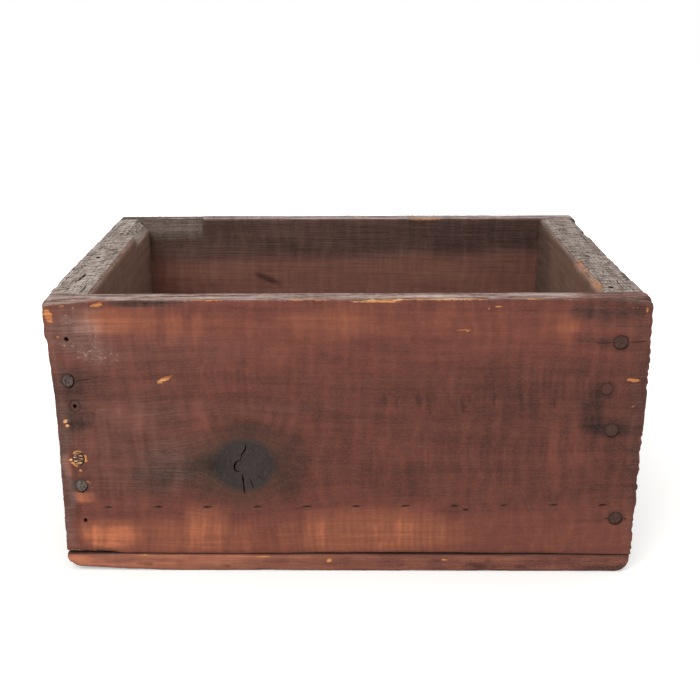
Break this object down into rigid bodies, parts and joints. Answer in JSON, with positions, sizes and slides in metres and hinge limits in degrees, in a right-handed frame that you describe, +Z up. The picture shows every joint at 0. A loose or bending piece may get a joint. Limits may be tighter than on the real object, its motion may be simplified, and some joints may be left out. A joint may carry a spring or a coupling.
{
  "type": "open wooden box",
  "caption": "Open-topped nailed box of old pine boards, lapped at the corners, with a planked bottom, for papers and small things.",
  "frame": {"origin": "middle of the box's underside, below the middle of the front and back boards", "axes": "+X along the front board to the right, +Y from the front board to the back board, +Z up"},
  "size_m": [0.328, 0.222, 0.1652],
  "materials": {
    "face_board": "old shellac over planed pine, worn",
    "end_board": "sawn and weathered",
    "bottom_plank": "sawn, worn at the edges",
    "nail": "dark rust"
  },
  "bodies": {
    "root": {"front_board": "face_board", "back_board": "face_board", "left_end_board": "end_board", "right_end_board": "end_board", "bottom_wide_plank": "bottom_plank", "bottom_narrow_plank": "bottom_plank", "front_left_nail_1": "nail", "front_left_nail_2": "nail", "front_left_nail_3": "nail", "front_right_nail_1": "nail", "front_right_nail_2": "nail", "front_right_nail_3": "nail", "front_right_nail_4": "nail", "back_left_nail_1": "nail", "back_left_nail_2": "nail", "back_left_nail_3": "nail", "back_left_nail_4": "nail", "back_right_nail_1": "nail", "back_right_nail_2": "nail", "back_right_nail_3": "nail", "back_right_nail_4": "nail", "bottom_front_nail_1": "nail", "bottom_front_nail_2": "nail", "bottom_front_nail_3": "nail", "bottom_front_nail_4": "nail", "bottom_back_nail_1": "nail", "bottom_back_nail_2": "nail", "bottom_back_nail_3": "nail", "bottom_back_nail_4": "nail", "bottom_left_nail_1": "nail", "bottom_left_nail_2": "nail", "bottom_left_nail_3": "nail", "bottom_left_nail_4": "nail", "bottom_left_nail_5": "nail", "bottom_right_nail_1": "nail", "bottom_right_nail_2": "nail", "bottom_right_nail_3": "nail", "bottom_right_nail_4": "nail", "bottom_right_nail_5": "nail"}
  },
  "joints": []
}
